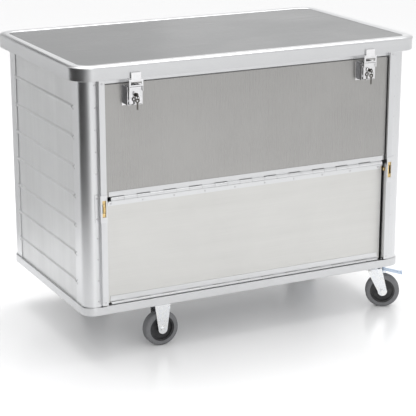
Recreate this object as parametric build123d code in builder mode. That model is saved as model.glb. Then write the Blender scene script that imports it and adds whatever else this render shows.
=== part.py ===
"""Closed aluminium housekeeping cart with a lid, a two-part drop front and four castors.

Origin: centre of the footprint, on the ground. +X to the swivel castor end, +Y to the rear, +Z up.
"""
from build123d import *
from math import cos, radians, sin
import os

# ---------------------------------------------------------------- driving dimensions (mm)
BODY_LENGTH = 1250.0          # bottom rim, outside, along X
BODY_WIDTH = 710.0            # bottom rim, outside, along Y
WHEEL_RADIUS = 62.5
WHEEL_TO_RIM = 40.0           # top of a wheel to the underside of the bottom rim
BODY_HEIGHT = 852.0           # underside of the bottom rim to the top of the lid frame
SHEET = 1.5                   # sheet metal thickness
TOUCH_GAP = 0.3               # rest gap between pieces that move apart

# bottom rim: an inward-facing channel bent round the corners
RIM_HEIGHT = 29.0
RIM_DEPTH = 20.0
RIM_WALL = 3.0
RIM_RADIUS = 45.0
DECK_THICK = 3.5
DECK_RISE = 0.5               # load area pressed up from the edge of the floor plate
DECK_EDGE = 2.0               # load area to the strips and the rim

# corner posts
POST_INSET = 5.0
POST_WALL = 2.5
POST_RADIUS = 38.0
POST_SIDE_FLANGE = 46.0
POST_FRONT_FLANGE = 16.0

# guide strips beside the front opening
STRIP_WIDTH = 22.0
STRIP_PROUD = 14.0
STRIP_DEPTH = 34.0
STRIP_WALL = 2.0
STRIP_FOOT_GAP = 6.0
STRIP_HEAD_GAP = 4.0

# beaded wall sheets
BEAD_PITCH = 100.0
BEAD_HEAD_ROOM = 20.0         # top bead to the top rim, at the least
BEAD_FIRST = 103.0            # first bead above the underside of the bottom rim
BEAD_WIDTH = 15.0
BEAD_CREST = 5.0
BEAD_HEIGHT = 4.5
SHEET_LAP = 15.0              # how far a wall sheet runs behind a post flange

# top rim and lid
BAND_PROUD = 28.0             # top rim beyond the bottom rim
BAND_HEIGHT = 37.0
BAND_WALL = 3.0
BAND_RADIUS = 70.0
BAND_SEAT = 22.0              # how far the top rim's inner wall laps down the posts
BAND_SEAT_WALL = 2.5
LID_FRAME_HEIGHT = 11.7
LID_PROUD = 2.0               # lid frame beyond the top rim
LID_LIP = 36.0
LID_LEDGE = 54.0
LID_OUTER_ROUND = 4.0
LID_INNER_ROUND = 1.2
LID_RECESS = 3.5
LID_SHEET = 1.5

# front rail above the flap
RAIL_WALL = 2.5
RAIL_STOP_DEPTH = 16.0
RAIL_STOP_HEIGHT = 28.0
RAIL_WEB_ABOVE_FLAP = 4.0

# lower front panel and upper flap
PANEL_RECESS = 24.0           # panel skin behind the strip face
FLAP_RECESS = 13.0
TRAY_DEPTH = 13.5
PANEL_SIDE_GAP = 6.0
FLAP_SIDE_GAP = 3.0
PANEL_FOOT_GAP = 5.0          # panel above the bottom rim
PANEL_HEIGHT = 357.0
FLAP_HEAD_GAP = 21.0          # flap below the top rim

# long hinges
MID_BARREL_GAP = 1.0          # mid hinge barrel to the panel below and the flap above
MID_KNUCKLE_RADIUS = 7.0
MID_PIN_RADIUS = 2.5
MID_SEGMENTS = 22
MID_END_GAP = 16.0            # strip to the first knuckle
MID_LEAF_THICK = 2.0
MID_LOWER_LEAF = 18.0
MID_UPPER_LEAF = 16.0
MID_SHELF = 3.0               # shelf of the lower leaf under the barrel
MID_LEAF_END_GAP = 11.0
FOOT_KNUCKLE_RADIUS = 4.5
FOOT_PIN_RADIUS = 2.0
FOOT_SEGMENTS = 22
FOOT_LEAF_THICK = 1.5
FOOT_BARREL_SINK = 0.5        # knuckles let into the face of their leaf
FOOT_LEAF_HEIGHT = 24.0
LID_KNUCKLE_RADIUS = 5.0
LID_PIN_RADIUS = 2.5
LID_HINGE_LENGTH = 90.0
LID_HINGE_INSET = 195.0       # outer lid hinges from the ends of the bottom rim
KNUCKLE_GAP = 0.8
PIN_CLEARANCE = 0.05

# castors
WHEEL_WIDTH = 36.0
TYRE_THICK = 17.0
HUB_WIDTH = 41.0
AXLE_RADIUS = 5.0
FORK_WALL = 2.5
FORK_GAP = 1.0                # hub face to fork leg
CASTOR_PLATE = (104.0, 82.0, 3.0)
RAIL_END_GAP = 4.0            # castor rail to the inner edge of the bottom rim
RAIL_THICK = 3.0
BOLT_SPACING = (80.0, 60.0)
BOLT_RADIUS = 4.0
BOLT_HEAD = 6.5
BOLT_HEAD_HEIGHT = 5.5
FIXED_CASTOR_INSET = 300.0    # from the left end of the bottom rim
SWIVEL_CASTOR_INSET = 83.0    # from the right end
CASTOR_SIDE_INSET = 59.0
SWIVEL_TRAIL = 38.0
SWIVEL_REST = {"front": -30.0, "rear": -14.0}
KINGPIN_RADIUS = 6.0
PEDAL_REACH = 107.0
PEDAL_PIVOT_X = 42.0
PEDAL_PIVOT_DROP = 25.0
PEDAL_SLOPE = 12.0

# latches
LATCH_INSET = 99.0            # latch centre from the guide strip
LATCH_BASE = (72.0, 67.0, 2.0)
LATCH_BASE_TOP = 5.0          # latch base below the top edge of the flap
LATCH_CASE_WIDTH = 54.0
LATCH_CASE_DEPTH = 25.0
LATCH_WALL = 1.5
LEVER_WIDTH = 45.8
LEVER_HEIGHT = 55.0
LEVER_THICK = 2.5
LEVER_PIVOT_DROP = 15.0       # lever pivot below the top edge of the flap
LEVER_PIVOT_OUT = 19.0        # lever pivot in front of the flap skin
BAIL_ARM_DROP = 5.5           # bail pivot below the lever pivot
BAIL_WIDTH = 49.4
BAIL_PLATE = 2.0
LOCK_DROP = 34.0              # lock centre below the top edge of the flap
CORE_RADIUS = 6.4
HOUSING_RADIUS = 9.0
KEY_BOW_RADIUS = 8.0
KEY_THICK = 1.5
KEY_HOLE_RADIUS = 3.0
RING_RADIUS = 7.0
RING_WIRE = 0.7
RING_SLACK = 0.6              # ring wire to the edge of a key's hole

# side catches
CATCH_DROP = 19.0             # catch centre below the top of the lower panel
CATCH_PLATE_HEIGHT = 93.0
CATCH_PLATE_THICK = 2.0
CATCH_SLOT = (13.0, 57.0)
CATCH_WINDOW = 30.0
CATCH_BOLT_WIDTH = 10.0
CATCH_TRAVEL = 6.0

RIVET_RADIUS = 3.2
RIVET_HEAD = 1.3
FLANGE_RIVET_PITCH = 75.0
LEAF_RIVET_PITCH = 110.0

# ---------------------------------------------------------------- worked-out places
CASTOR_HEIGHT = 2 * WHEEL_RADIUS + WHEEL_TO_RIM
RIM_TOP = CASTOR_HEIGHT + RIM_HEIGHT
LID_TOP = CASTOR_HEIGHT + BODY_HEIGHT
BAND_TOP = LID_TOP - LID_FRAME_HEIGHT - TOUCH_GAP
BAND_BOTTOM = BAND_TOP - BAND_HEIGHT
HALF_LENGTH = BODY_LENGTH / 2
HALF_WIDTH = BODY_WIDTH / 2
POST_X = HALF_LENGTH - POST_INSET
POST_Y = HALF_WIDTH - POST_INSET
POST_TOP = BAND_TOP - BAND_WALL
STRIP_OUT_X = POST_X - POST_RADIUS - POST_FRONT_FLANGE
STRIP_IN_X = STRIP_OUT_X - STRIP_WIDTH
STRIP_Y = POST_Y + STRIP_PROUD
STRIP_BACK_Y = STRIP_Y - STRIP_DEPTH
STRIP_BOTTOM = RIM_TOP + STRIP_FOOT_GAP
STRIP_TOP = BAND_BOTTOM - STRIP_HEAD_GAP
PANEL_Y = STRIP_Y - PANEL_RECESS
FLAP_Y = STRIP_Y - FLAP_RECESS
PANEL_BOTTOM = RIM_TOP + PANEL_FOOT_GAP
PANEL_TOP = PANEL_BOTTOM + PANEL_HEIGHT
FLAP_BOTTOM = PANEL_TOP + 2 * (MID_KNUCKLE_RADIUS + MID_BARREL_GAP)
FLAP_TOP = BAND_BOTTOM - FLAP_HEAD_GAP
MID_AXIS_Y = FLAP_Y + MID_LEAF_THICK
MID_AXIS_Z = (PANEL_TOP + FLAP_BOTTOM) / 2
MID_HALF = STRIP_IN_X - MID_END_GAP
FOOT_AXIS_Y = PANEL_Y + FOOT_LEAF_THICK + FOOT_KNUCKLE_RADIUS - FOOT_BARREL_SINK
FOOT_AXIS_Z = RIM_TOP + FOOT_KNUCKLE_RADIUS + TOUCH_GAP
BAND_X = HALF_LENGTH + BAND_PROUD
BAND_Y = HALF_WIDTH + BAND_PROUD
LID_X = BAND_X + LID_PROUD
LID_Y = BAND_Y + LID_PROUD
LID_AXIS_Y = LID_Y + LID_KNUCKLE_RADIUS + 0.5
LID_AXIS_Z = BAND_TOP - 2.0
FLOOR_Z = RIM_TOP - RIM_WALL - TOUCH_GAP - DECK_THICK
DECK_TOP = FLOOR_Z + DECK_THICK + DECK_RISE
WALL_OUT_X = POST_X - POST_WALL
WALL_OUT_Y = POST_Y - POST_WALL
BEAD_COUNT = int((BAND_BOTTOM - BEAD_HEAD_ROOM - CASTOR_HEIGHT - BEAD_FIRST) // BEAD_PITCH) + 1
LID_HINGE_X = (LID_HINGE_INSET - HALF_LENGTH, 0.0, HALF_LENGTH - LID_HINGE_INSET)
CATCH_Z = PANEL_TOP - CATCH_DROP
LATCH_X = STRIP_IN_X - LATCH_INSET
FIXED_CASTOR_X = FIXED_CASTOR_INSET - HALF_LENGTH
SWIVEL_CASTOR_X = HALF_LENGTH - SWIVEL_CASTOR_INSET
CASTOR_Y = HALF_WIDTH - CASTOR_SIDE_INSET
PEDAL_PIVOT = (PEDAL_PIVOT_X, CASTOR_HEIGHT - PEDAL_PIVOT_DROP)

os.makedirs("parts", exist_ok=True)


def save(part, name):
    """Label a finished piece and write its STEP file."""
    part.label = name
    export_step(part, f"parts/{name}.step")


def group(parts):
    """Several separate solids that share one node."""
    return Compound(children=list(parts))


def add_block(low, high, mode=Mode.ADD):
    """An axis-aligned block between two corners, added to the part being built."""
    size = [abs(b - a) for a, b in zip(low, high)]
    middle = [(a + b) / 2 for a, b in zip(low, high)]
    with Locations(tuple(middle)):
        Box(*size, mode=mode)


def ring(length, width, radius, depth, z, height):
    """A rounded rectangular ring lying flat, its outer size given."""
    with BuildPart() as piece:
        with BuildSketch(Plane.XY.offset(z)):
            RectangleRounded(length, width, radius)
            RectangleRounded(
                length - 2 * depth, width - 2 * depth, max(radius - depth, 2.0), mode=Mode.SUBTRACT
            )
        extrude(amount=height)
    return piece.part


def rod(start, axis, radius, length):
    """A plain round bar from a start point along an axis."""
    with BuildPart() as piece:
        with BuildSketch(Plane(origin=start, z_dir=axis)):
            Circle(radius)
        extrude(amount=length)
    return piece.part


def rivet(at, outward):
    """A dome-headed rivet whose head sits on a face at the given point."""
    with BuildPart() as piece:
        with BuildSketch(Plane(origin=at, z_dir=outward)) as head:
            Circle(RIVET_RADIUS)
        extrude(head.sketch, amount=RIVET_HEAD)
        rim = piece.edges().filter_by(GeomType.CIRCLE).sort_by(lambda e: e.center().dot(Vector(*outward)))
        fillet(rim[-1], RIVET_HEAD * 0.85)
    return piece.part


# ---------------------------------------------------------------- bottom rim and floor
def make_bottom_rim():
    rings = [
        ring(BODY_LENGTH, BODY_WIDTH, RIM_RADIUS, RIM_WALL, CASTOR_HEIGHT, RIM_HEIGHT),
        ring(BODY_LENGTH, BODY_WIDTH, RIM_RADIUS, RIM_DEPTH, RIM_TOP - RIM_WALL, RIM_WALL),
        ring(BODY_LENGTH, BODY_WIDTH, RIM_RADIUS, RIM_DEPTH, CASTOR_HEIGHT, RIM_WALL),
    ]
    with BuildPart() as bottom_rim:
        for piece in rings:
            add(piece)
        outer = bottom_rim.faces().filter_by(Axis.Z).group_by(Axis.Z)
        edges = outer[0].sort_by(SortBy.AREA)[-1].outer_wire().edges()
        edges += outer[-1].sort_by(SortBy.AREA)[-1].outer_wire().edges()
        fillet(edges, RIM_WALL * 0.6)
    save(bottom_rim.part, "bottom_rim")


def make_floor():
    edge = RIM_WALL + TOUCH_GAP
    with BuildPart() as floor_plate:
        with BuildSketch(Plane.XY.offset(FLOOR_Z)):
            RectangleRounded(BODY_LENGTH - 2 * edge, BODY_WIDTH - 2 * edge, RIM_RADIUS - edge)
        extrude(amount=DECK_THICK)
        with BuildSketch(Plane.XY.offset(FLOOR_Z + DECK_THICK)):
            RectangleRounded(
                2 * (HALF_LENGTH - RIM_DEPTH - DECK_EDGE), 2 * (STRIP_BACK_Y - DECK_EDGE),
                RIM_RADIUS - RIM_DEPTH,
            )
        extrude(amount=DECK_RISE)
    save(floor_plate.part, "floor_plate")


def make_castor_rails():
    rails = []
    half_y = HALF_WIDTH - RIM_DEPTH - RAIL_END_GAP
    for x in (FIXED_CASTOR_X, SWIVEL_CASTOR_X):
        half_x = CASTOR_PLATE[0] / 2 - 2.0
        with BuildPart() as rail:
            add_block((x - half_x, -half_y, CASTOR_HEIGHT), (x + half_x, half_y, FLOOR_Z))
            add_block(
                (x - half_x + RAIL_THICK, -half_y - 1, CASTOR_HEIGHT + RAIL_THICK),
                (x + half_x - RAIL_THICK, half_y + 1, FLOOR_Z + 1),
                mode=Mode.SUBTRACT,
            )
            with Locations(*[
                (x + sx * BOLT_SPACING[0] / 2, sy * CASTOR_Y + ty * BOLT_SPACING[1] / 2, CASTOR_HEIGHT)
                for sx in (-1, 1) for ty in (-1, 1) for sy in (-1, 1)
            ]):
                Cylinder(BOLT_RADIUS + 0.2, 20.0, mode=Mode.SUBTRACT)
        rails.append(rail.part)
    save(group(rails), "castor_rails")


# ---------------------------------------------------------------- corner posts and strips
def post_outline(flange_x, flange_y):
    """Plan section of the front left post: side flange, round corner, front flange."""
    with BuildPart() as post:
        with BuildSketch(Plane.XY.offset(RIM_TOP)):
            with BuildLine():
                start = (-POST_X, -POST_Y + POST_RADIUS + flange_y)
                corner_a = (-POST_X, -POST_Y + POST_RADIUS)
                corner_b = (-POST_X + POST_RADIUS, -POST_Y)
                end = (-POST_X + POST_RADIUS + flange_x, -POST_Y)
                inner = POST_RADIUS - POST_WALL
                Line(start, corner_a)
                RadiusArc(corner_a, corner_b, -POST_RADIUS)
                Line(corner_b, end)
                Line(end, (end[0], end[1] + POST_WALL))
                Line((end[0], end[1] + POST_WALL), (corner_b[0], corner_b[1] + POST_WALL))
                RadiusArc(
                    (corner_b[0], corner_b[1] + POST_WALL), (corner_a[0] + POST_WALL, corner_a[1]), inner
                )
                Line((corner_a[0] + POST_WALL, corner_a[1]), (start[0] + POST_WALL, start[1]))
                Line((start[0] + POST_WALL, start[1]), start)
            make_face()
        extrude(amount=POST_TOP - RIM_TOP)
    return post.part


def make_posts():
    front = post_outline(POST_FRONT_FLANGE, POST_SIDE_FLANGE)
    save(group([front, front.mirror(Plane.YZ)]), "front_corner_posts")
    rear = post_outline(POST_SIDE_FLANGE, POST_SIDE_FLANGE).mirror(Plane.XZ)
    save(group([rear, rear.mirror(Plane.YZ)]), "rear_corner_posts")


def catch_slot_cut(depth_low, depth_high):
    """The upright slot that the catch is worked through, cut in the part being built."""
    middle = -(STRIP_OUT_X + STRIP_IN_X) / 2
    add_block(
        (middle - CATCH_SLOT[0] / 2, -depth_high, CATCH_Z - CATCH_SLOT[1] / 2),
        (middle + CATCH_SLOT[0] / 2, -depth_low, CATCH_Z + CATCH_SLOT[1] / 2),
        mode=Mode.SUBTRACT,
    )


def make_guide_strips():
    """Box-section strips with a rear fin riveted behind the post's front flange."""
    with BuildPart() as strip:
        add_block((-STRIP_OUT_X, -STRIP_Y, STRIP_BOTTOM), (-STRIP_IN_X, -STRIP_BACK_Y, STRIP_TOP))
        fillet(strip.edges().filter_by(Axis.Z).group_by(Axis.Y)[0], 1.2)
        add_block(
            (-STRIP_OUT_X - POST_FRONT_FLANGE, -WALL_OUT_Y, RIM_TOP),
            (-STRIP_OUT_X, -WALL_OUT_Y + STRIP_WALL, STRIP_TOP),
        )
        add_block(
            (-STRIP_OUT_X, -WALL_OUT_Y, RIM_TOP),
            (-STRIP_IN_X, -STRIP_BACK_Y, STRIP_BOTTOM),
        )
        add_block(
            (-STRIP_OUT_X + STRIP_WALL, -STRIP_Y + STRIP_WALL, RIM_TOP - 1),
            (-STRIP_IN_X - STRIP_WALL, -STRIP_BACK_Y - STRIP_WALL, STRIP_TOP + 1),
            mode=Mode.SUBTRACT,
        )
        catch_slot_cut(STRIP_Y - STRIP_WALL - 1, STRIP_Y + 1)
        nose_y = -(STRIP_Y + STRIP_BACK_Y) / 2
        add_block(
            (-STRIP_IN_X - STRIP_WALL - 1, nose_y - 7, CATCH_Z - 7),
            (-STRIP_IN_X + 1, nose_y + 7, CATCH_Z + 7),
            mode=Mode.SUBTRACT,
        )
    save(group([strip.part, strip.part.mirror(Plane.YZ)]), "guide_strips")


# ---------------------------------------------------------------- beaded walls
def beaded_sheet(half_span, bottom, top, bead_half):
    """An upright sheet in the XZ plane, outer face at y = 0, with beads pressed towards -Y."""
    with BuildPart() as sheet:
        add_block((-half_span, 0, bottom), (half_span, SHEET, top))
        for index in range(BEAD_COUNT):
            z = CASTOR_HEIGHT + BEAD_FIRST + index * BEAD_PITCH
            for inset, base, mode in ((0.0, 0.5, Mode.ADD), (SHEET, SHEET + 0.5, Mode.SUBTRACT)):
                wide = BEAD_WIDTH / 2 - inset * 0.4
                crest = BEAD_CREST / 2 - inset * 0.4
                rise = BEAD_HEIGHT - inset
                with BuildSketch(Plane.YZ.offset(-bead_half + inset)):
                    with BuildLine():
                        Polyline(
                            (base, z - wide), (-rise, z - crest), (-rise, z + crest), (base, z + wide),
                            close=True,
                        )
                    make_face()
                extrude(amount=2 * (bead_half - inset), mode=mode)
    return sheet.part


def make_walls():
    side_edge = POST_Y - POST_RADIUS - POST_SIDE_FLANGE
    side = beaded_sheet(side_edge + SHEET_LAP, RIM_TOP, POST_TOP, side_edge - 1.0)
    left = Location((-WALL_OUT_X, 0, 0), (0, 0, -90)) * side
    save(group([left, left.mirror(Plane.YZ)]), "side_sheets")
    rear_edge = POST_X - POST_RADIUS - POST_SIDE_FLANGE
    rear = beaded_sheet(rear_edge + SHEET_LAP, RIM_TOP, POST_TOP, rear_edge - 1.0)
    save(Location((0, WALL_OUT_Y, 0), (0, 0, 180)) * rear, "rear_sheet")


# ---------------------------------------------------------------- top rim, rail and lid
def make_top_rim():
    """A downward-facing channel: outer bumper wall, top web and the inner wall on the posts."""
    seat = BAND_SEAT_WALL
    reach = BAND_PROUD + POST_INSET
    pieces = [
        ring(2 * BAND_X, 2 * BAND_Y, BAND_RADIUS, BAND_WALL, BAND_BOTTOM, BAND_HEIGHT),
        ring(2 * BAND_X, 2 * BAND_Y, BAND_RADIUS, reach + 12.0, BAND_TOP - BAND_WALL, BAND_WALL),
        ring(
            2 * (POST_X + seat), 2 * (POST_Y + seat), POST_RADIUS + seat, seat,
            BAND_TOP - BAND_SEAT, BAND_SEAT,
        ),
    ]
    with BuildPart() as top_rim:
        for piece in pieces:
            add(piece)
        lowest = top_rim.faces().filter_by(Axis.Z).group_by(Axis.Z)[0]
        fillet(lowest.sort_by(SortBy.AREA)[-1].outer_wire().edges(), BAND_WALL * 0.4)
    save(top_rim.part, "top_rim")


def make_front_rail():
    """Z-section rail: face plate above the flap and a stop plate behind its top edge."""
    web_z = FLAP_TOP + RAIL_WEB_ABOVE_FLAP
    stop_y = FLAP_Y - TRAY_DEPTH - SHEET - TOUCH_GAP
    with BuildPart() as rail:
        add_block((-STRIP_IN_X, -POST_Y, web_z), (STRIP_IN_X, -POST_Y + RAIL_WALL, POST_TOP))
        add_block((-STRIP_IN_X, -POST_Y, web_z), (STRIP_IN_X, -stop_y + RAIL_WALL, web_z + RAIL_WALL))
        add_block(
            (-STRIP_IN_X, -stop_y, web_z + RAIL_WALL - RAIL_STOP_HEIGHT),
            (STRIP_IN_X, -stop_y + RAIL_WALL, web_z + RAIL_WALL),
        )
    save(rail.part, "front_rail")


def make_lid():
    frame_bottom = LID_TOP - LID_FRAME_HEIGHT
    sheet_top = LID_TOP - LID_RECESS
    with BuildPart() as lid_frame:
        add(ring(2 * LID_X, 2 * LID_Y, BAND_RADIUS + LID_PROUD, LID_LIP, frame_bottom, LID_FRAME_HEIGHT))
        add(ring(2 * LID_X, 2 * LID_Y, BAND_RADIUS + LID_PROUD, LID_LEDGE, frame_bottom,
                 sheet_top - LID_SHEET - frame_bottom))
        top = lid_frame.faces().filter_by(Axis.Z).group_by(Axis.Z)[-1]
        fillet(top[0].outer_wire().edges(), LID_OUTER_ROUND)
        top = lid_frame.faces().filter_by(Axis.Z).group_by(Axis.Z)[-1]
        fillet(top[0].inner_wires()[0].edges(), LID_INNER_ROUND)
    save(lid_frame.part, "lid_frame")
    with BuildPart() as lid_sheet:
        with BuildSketch(Plane.XY.offset(sheet_top - LID_SHEET)):
            RectangleRounded(
                2 * (LID_X - LID_LIP), 2 * (LID_Y - LID_LIP), BAND_RADIUS + LID_PROUD - LID_LIP
            )
        extrude(amount=LID_SHEET)
    save(lid_sheet.part, "lid_sheet")


def knuckle(x_low, x_high, y, z, radius, bore):
    """One hinge knuckle along X."""
    with BuildPart() as piece:
        with BuildSketch(Plane.YZ.offset(x_low)):
            with Locations((y, z)):
                Circle(radius)
                Circle(bore, mode=Mode.SUBTRACT)
        extrude(amount=x_high - x_low)
    return piece.part


def make_lid_hinges():
    """Three hinges at the rear: the body leaf has the outer knuckles, the lid leaf the middle one."""
    third = LID_HINGE_LENGTH / 3
    bases = []
    leaves = []
    pins = []
    bore = LID_PIN_RADIUS + PIN_CLEARANCE
    for x in LID_HINGE_X:
        with BuildPart() as base:
            for low in (x - 1.5 * third, x + 0.5 * third):
                add_block((low, BAND_Y, BAND_TOP - 30.0), (low + third, BAND_Y + 2.0, BAND_TOP - 6.0))
                add_block((low, BAND_Y, BAND_TOP - 9.0), (low + third, LID_AXIS_Y, BAND_TOP - 4.5))
                add(knuckle(low, low + third, LID_AXIS_Y, LID_AXIS_Z, LID_KNUCKLE_RADIUS, bore))
            add_block(
                (x - 1.5 * third, BAND_Y, BAND_TOP - 30.0), (x + 1.5 * third, BAND_Y + 2.0, BAND_TOP - 12.0)
            )
            add(rod((x - 2 * third, LID_AXIS_Y, LID_AXIS_Z), (1, 0, 0), bore, 4 * third), mode=Mode.SUBTRACT)
        bases.append(base.part)
        low = x - 0.5 * third + KNUCKLE_GAP
        high = x + 0.5 * third - KNUCKLE_GAP
        leaf_z = LID_TOP - LID_FRAME_HEIGHT + 1.5
        with BuildPart() as leaf:
            add_block((low, LID_Y, leaf_z), (high, LID_Y + 2.0, LID_TOP - 2.0))
            add_block((low, LID_Y, leaf_z), (high, LID_AXIS_Y, LID_AXIS_Z + LID_KNUCKLE_RADIUS))
            add(knuckle(low, high, LID_AXIS_Y, LID_AXIS_Z, LID_KNUCKLE_RADIUS, bore))
            add(rod((low - 1, LID_AXIS_Y, LID_AXIS_Z), (1, 0, 0), bore, third + 2), mode=Mode.SUBTRACT)
        leaves.append(leaf.part)
        pins.append(rod((x - 1.5 * third, LID_AXIS_Y, LID_AXIS_Z), (1, 0, 0), LID_PIN_RADIUS, 3 * third))
    save(group(bases), "lid_hinge_bases")
    save(group(leaves), "lid_hinge_leaves")
    save(group(pins), "lid_hinge_pins")


# ---------------------------------------------------------------- front panel and flap
def tray(half_x, face_y, bottom, top):
    """A folded sheet panel: a skin at -face_y with a return along all four edges."""
    back = face_y - TRAY_DEPTH
    with BuildPart() as panel:
        add_block((-half_x, -face_y, bottom), (half_x, -back, top))
        add_block(
            (-half_x + SHEET, -face_y + SHEET, bottom + SHEET),
            (half_x - SHEET, -back + 1, top - SHEET),
            mode=Mode.SUBTRACT,
        )
    return panel.part


def segments(half, count):
    """Knuckle spans along X, with a running gap, numbered from the left."""
    pitch = 2 * half / count
    return [
        (-half + i * pitch + KNUCKLE_GAP / 2, -half + (i + 1) * pitch - KNUCKLE_GAP / 2) for i in range(count)
    ]


def make_front():
    panel_half = STRIP_IN_X - PANEL_SIDE_GAP
    flap_half = STRIP_IN_X - FLAP_SIDE_GAP
    save(tray(panel_half, PANEL_Y, PANEL_BOTTOM, PANEL_TOP), "lower_panel")
    save(tray(flap_half, FLAP_Y, FLAP_BOTTOM, FLAP_TOP), "upper_flap")

    bore = MID_PIN_RADIUS + PIN_CLEARANCE
    spans = segments(MID_HALF, MID_SEGMENTS)
    leaf_half = STRIP_IN_X - MID_LEAF_END_GAP
    leaf_y = PANEL_Y + MID_LEAF_THICK
    bridge_low = MID_AXIS_Z - 4.0
    shelf_top = PANEL_TOP + MID_BARREL_GAP / 2
    with BuildPart() as lower_leaf:
        add_block((-leaf_half, -leaf_y, PANEL_TOP - MID_LOWER_LEAF), (leaf_half, -PANEL_Y, PANEL_TOP))
        add_block((-leaf_half, -MID_AXIS_Y + 0.5, PANEL_TOP - MID_SHELF), (leaf_half, -leaf_y, shelf_top))
        for low, high in spans[0::2]:
            add_block((low, -leaf_y, PANEL_TOP - 1), (high, -PANEL_Y, MID_AXIS_Z + 2))
            add_block((low, -MID_AXIS_Y, bridge_low), (high, -PANEL_Y, MID_AXIS_Z + 2))
            add(knuckle(low, high, -MID_AXIS_Y, MID_AXIS_Z, MID_KNUCKLE_RADIUS, bore))
        add(rod((-leaf_half, -MID_AXIS_Y, MID_AXIS_Z), (1, 0, 0), bore, 2 * leaf_half), mode=Mode.SUBTRACT)
    save(lower_leaf.part, "mid_hinge_lower_leaf")

    leaf_z = FLAP_BOTTOM + 1.0
    with BuildPart() as upper_leaf:
        add_block((-leaf_half, -MID_AXIS_Y, leaf_z), (leaf_half, -FLAP_Y, leaf_z + MID_UPPER_LEAF))
        for low, high in spans[1::2]:
            add_block((low, -MID_AXIS_Y, MID_AXIS_Z), (high, -FLAP_Y, leaf_z + 1))
            add(knuckle(low, high, -MID_AXIS_Y, MID_AXIS_Z, MID_KNUCKLE_RADIUS, bore))
        add(rod((-leaf_half, -MID_AXIS_Y, MID_AXIS_Z), (1, 0, 0), bore, 2 * leaf_half), mode=Mode.SUBTRACT)
    save(upper_leaf.part, "mid_hinge_upper_leaf")
    save(rod((-MID_HALF, -MID_AXIS_Y, MID_AXIS_Z), (1, 0, 0), MID_PIN_RADIUS, 2 * MID_HALF), "mid_hinge_pin")

    foot_bore = FOOT_PIN_RADIUS + PIN_CLEARANCE
    foot_spans = segments(MID_HALF, FOOT_SEGMENTS)
    with BuildPart() as foot_leaf:
        add_block(
            (-MID_HALF, -PANEL_Y - FOOT_LEAF_THICK, FOOT_AXIS_Z + FOOT_KNUCKLE_RADIUS + 1),
            (MID_HALF, -PANEL_Y, FOOT_AXIS_Z + FOOT_LEAF_HEIGHT),
        )
        for low, high in foot_spans[1::2]:
            add_block(
                (low, -PANEL_Y - FOOT_LEAF_THICK, FOOT_AXIS_Z),
                (high, -PANEL_Y, FOOT_AXIS_Z + FOOT_LEAF_HEIGHT),
            )
            add_block(
                (low, -FOOT_AXIS_Y, FOOT_AXIS_Z + 2.2), (high, -PANEL_Y, FOOT_AXIS_Z + 3.8)
            )
            add(knuckle(low, high, -FOOT_AXIS_Y, FOOT_AXIS_Z, FOOT_KNUCKLE_RADIUS, foot_bore))
        add(rod((-MID_HALF - 1, -FOOT_AXIS_Y, FOOT_AXIS_Z), (1, 0, 0), foot_bore, 2 * MID_HALF + 2),
            mode=Mode.SUBTRACT)
    save(foot_leaf.part, "panel_hinge_leaf")
    with BuildPart() as foot_base:
        add_block(
            (-MID_HALF, -FOOT_AXIS_Y + FOOT_KNUCKLE_RADIUS + 0.6, RIM_TOP),
            (MID_HALF, -HALF_WIDTH + RIM_DEPTH, RIM_TOP + FOOT_LEAF_THICK),
        )
        for low, high in foot_spans[0::2]:
            add_block((low, -FOOT_AXIS_Y, RIM_TOP), (high, -FOOT_AXIS_Y + 6, RIM_TOP + FOOT_LEAF_THICK))
            add(knuckle(low, high, -FOOT_AXIS_Y, FOOT_AXIS_Z, FOOT_KNUCKLE_RADIUS, foot_bore))
        add(rod((-MID_HALF - 1, -FOOT_AXIS_Y, FOOT_AXIS_Z), (1, 0, 0), foot_bore, 2 * MID_HALF + 2),
            mode=Mode.SUBTRACT)
    save(foot_base.part, "panel_hinge_base")
    save(rod((-MID_HALF, -FOOT_AXIS_Y, FOOT_AXIS_Z), (1, 0, 0), FOOT_PIN_RADIUS, 2 * MID_HALF),
         "panel_hinge_pin")


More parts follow.
